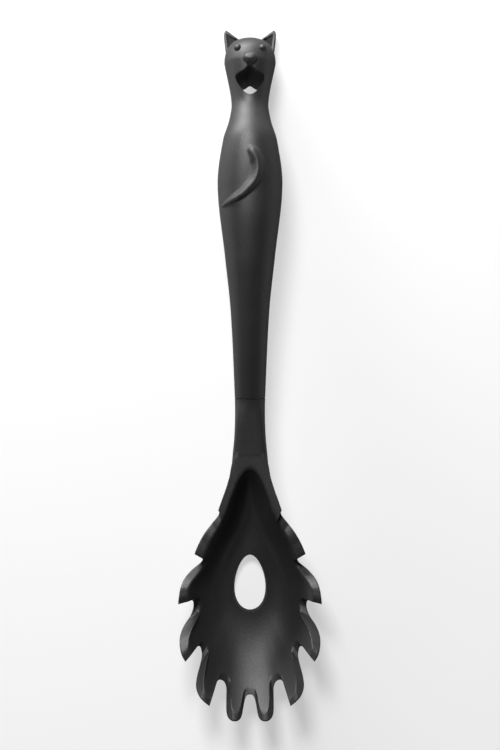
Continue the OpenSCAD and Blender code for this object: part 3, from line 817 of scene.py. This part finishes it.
def keeper_point(side, column, row):
    x = (-1, 1, 1, -1, -1)[column] * 20 * MM
    w = (0.04, 0.04, 25, 25, 0.04)[column] * MM * side
    return on_spine(mix(seam_at - 2 * MM, overall_l + 2 * MM, row / 120), x, w)


cut(cat, new_piece("hollow", close_up(moved_sheet(48, 80, hollow_point))))
shells = {}
for node, side in (("handle_front", 1), ("handle_back", -1)):
    shell = cat.copy()
    bpy.context.scene.collection.objects.link(shell)
    shell.name = "nylon_" + node
    keeper = new_piece("keeper", close_up(moved_sheet(4, 120, functools.partial(keeper_point, side))))
    shells[node] = cut(shell, keeper, "INTERSECT")
    print(shell.name, "faces", len(shell.data.polygons))
bpy.data.objects.remove(cat)

# %% [markdown]
# ## Black nylon
# Kitchen nylon is a deep neutral black. The mould is spark eroded, so its skin has a fine even grain
# that breaks the gloss into a soft, speckled sheen. Two layers of noise make the grain, a slower one
# varies the gloss a little, as mould wear does. All read object coordinates, so nothing slides. Seen
# at a flat angle such a grain looks duller, which a layer weight adds to the roughness.

# %% Material
nylon = bpy.data.materials.new("black_nylon")
nylon.use_nodes = True
nodes, links = nylon.node_tree.nodes, nylon.node_tree.links
shader = nodes["Principled BSDF"]
shader.inputs["IOR"].default_value = 1.5
place = nodes.new("ShaderNodeTexCoord")


def noise(scale, detail, roughness=0.6):
    node = nodes.new("ShaderNodeTexNoise")
    node.inputs["Scale"].default_value = scale
    node.inputs["Detail"].default_value = detail
    node.inputs["Roughness"].default_value = roughness
    links.new(place.outputs["Object"], node.inputs["Vector"])
    return node


def ranged(source, low, high):
    node = nodes.new("ShaderNodeMapRange")
    node.inputs["From Min"].default_value = 0.3
    node.inputs["From Max"].default_value = 0.7
    node.inputs["To Min"].default_value = low
    node.inputs["To Max"].default_value = high
    links.new(source.outputs["Fac"], node.inputs["Value"])
    return node


fine, coarse, slow = noise(2600, 2), noise(1100, 3), noise(60, 2)
tint = nodes.new("ShaderNodeMix")
tint.data_type = "RGBA"
tint.inputs["A"].default_value = (0.0085, 0.0085, 0.0088, 1)
tint.inputs["B"].default_value = (0.0135, 0.0135, 0.0139, 1)
links.new(ranged(coarse, 0, 1).outputs["Result"], tint.inputs["Factor"])
links.new(tint.outputs["Result"], shader.inputs["Base Color"])
glance = nodes.new("ShaderNodeLayerWeight")
glance.inputs["Blend"].default_value = 0.5
duller = nodes.new("ShaderNodeMapRange")
duller.inputs["From Min"].default_value = 0.1
duller.inputs["From Max"].default_value = 0.6
duller.inputs["To Max"].default_value = 0.5
links.new(glance.outputs["Facing"], duller.inputs["Value"])
gloss = ranged(slow, 0.41, 0.46)
for part in (ranged(fine, -0.03, 0.05), duller):
    add = nodes.new("ShaderNodeMath")
    links.new(gloss.outputs[0], add.inputs[0])
    links.new(part.outputs["Result"], add.inputs[1])
    gloss = add
links.new(gloss.outputs["Value"], shader.inputs["Roughness"])
bump_fine = nodes.new("ShaderNodeBump")
bump_fine.inputs["Strength"].default_value = 0.9
bump_fine.inputs["Distance"].default_value = 0.07 * MM
links.new(fine.outputs["Fac"], bump_fine.inputs["Height"])
bump = nodes.new("ShaderNodeBump")
bump.inputs["Strength"].default_value = 0.2
bump.inputs["Distance"].default_value = 0.12 * MM
links.new(coarse.outputs["Fac"], bump.inputs["Height"])
links.new(bump_fine.outputs["Normal"], bump.inputs["Normal"])
links.new(bump.outputs["Normal"], shader.inputs["Normal"])

for node, piece in {"server_head": server_head, **shells}.items():
    piece.data.materials.clear()
    piece.data.materials.append(nylon)
    piece.data.shade_smooth()
    piece.data.set_sharp_from_angle(angle=math.radians(50))
    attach(piece, "root")
    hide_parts(node)
    print(piece.name, "stands for", node)

# %% [markdown]
# ## Studio
# A product picture on white: the tool lies on its back on white paper and the camera looks straight
# down with a long lens, so that nothing is drawn out. The paper is a diffuse white. For the rays
# that make the picture and its reflections it is mixed with plain white, which makes the shadow
# faint without more light on the tool. Far away the paper curves up behind low views.

# %% Floor
flat_m = 14
floor_bm = bmesh.new()
bmesh.ops.create_grid(floor_bm, x_segments=40, y_segments=40, size=20)
for v in floor_bm.verts:
    v.co.z = max(0, v.co.xy.length - flat_m) ** 2 / 4
floor = new_piece("floor", floor_bm)
floor.data.shade_smooth()
paper = bpy.data.materials.new("white_paper")
paper.use_nodes = True
shade, glow = paper.node_tree.nodes["Principled BSDF"], paper.node_tree.nodes.new("ShaderNodeEmission")
shade.inputs["Base Color"].default_value = (0.9, 0.9, 0.9, 1)
shade.inputs["Roughness"].default_value = 1
shade.inputs["Specular IOR Level"].default_value = 0
ray = paper.node_tree.nodes.new("ShaderNodeLightPath")
white = None
for kind in ("Is Camera Ray", "Is Glossy Ray", "Is Transmission Ray"):
    add = paper.node_tree.nodes.new("ShaderNodeMath")
    add.operation = "MULTIPLY_ADD"
    add.inputs[1].default_value = 0.5
    add.inputs[2].default_value = 0
    paper.node_tree.links.new(ray.outputs[kind], add.inputs[0])
    if white:
        paper.node_tree.links.new(white.outputs["Value"], add.inputs[2])
    white = add
both = paper.node_tree.nodes.new("ShaderNodeMixShader")
paper.node_tree.links.new(white.outputs["Value"], both.inputs["Fac"])
paper.node_tree.links.new(shade.outputs["BSDF"], both.inputs[1])
paper.node_tree.links.new(glow.outputs["Emission"], both.inputs[2])
surface = paper.node_tree.nodes["Material Output"].inputs["Surface"]
paper.node_tree.links.new(both.outputs["Shader"], surface)
floor.data.materials.append(paper)
print("floor", round(2 * max(v.co.x for v in floor.data.vertices)), "m wide")


# %% [markdown]
# ## Two soft lamps
# The front lamp stands beyond the cat's head and high above the tool. It draws the soft highlights
# on neck, chest and bowl, and lights white paper just to white. The other one lies low beyond the
# head and skims along the tool, which lights the forehead and the upper side of each round form.
# Both stand a little to the left. The world only lifts the shadows a little.

# %% Lamps and world
def softbox(name, place, width, height, power):
    lamp = bpy.data.objects.new(name, bpy.data.lights.new(name, "AREA"))
    lamp.data.shape = "RECTANGLE"
    lamp.data.size, lamp.data.size_y = width, height
    lamp.data.energy = power
    lamp.location = place
    lamp.rotation_euler = (-Vector(place)).to_track_quat("-Z", "Y").to_euler()
    bpy.context.scene.collection.objects.link(lamp)


softbox("front", (-0.19, 0.66, 0.89), 0.4, 0.34, 12)
softbox("top", (-0.35, 0.93, 0.11), 0.6, 0.2, 28)
world = bpy.data.worlds.new("studio")
world.use_nodes = True
world.node_tree.nodes["Background"].inputs["Color"].default_value = (1, 1, 1, 1)
world.node_tree.nodes["Background"].inputs["Strength"].default_value = 0.07
bpy.context.scene.world = world

# %% [markdown]
# ## Camera
# It looks straight at the front of the tool from far away, and its field is set from the length of
# the tool, which fills 92 % of the picture's height.

# %% Camera
camera = bpy.data.objects.new("camera", bpy.data.cameras.new("camera"))
camera.data.sensor_fit = "VERTICAL"
camera.data.sensor_height = 36
camera.data.lens = 150
camera.data.clip_end = 20
field = overall_l / 0.92
distance = field / 2 / math.tan(math.atan(18 / camera.data.lens))
camera.location = (0, 0, distance + 0.01)
bpy.context.scene.collection.objects.link(camera)
bpy.context.scene.camera = camera
bpy.context.scene.view_settings.view_transform = "Standard"
print("camera", round(distance, 3), "m above the tool")
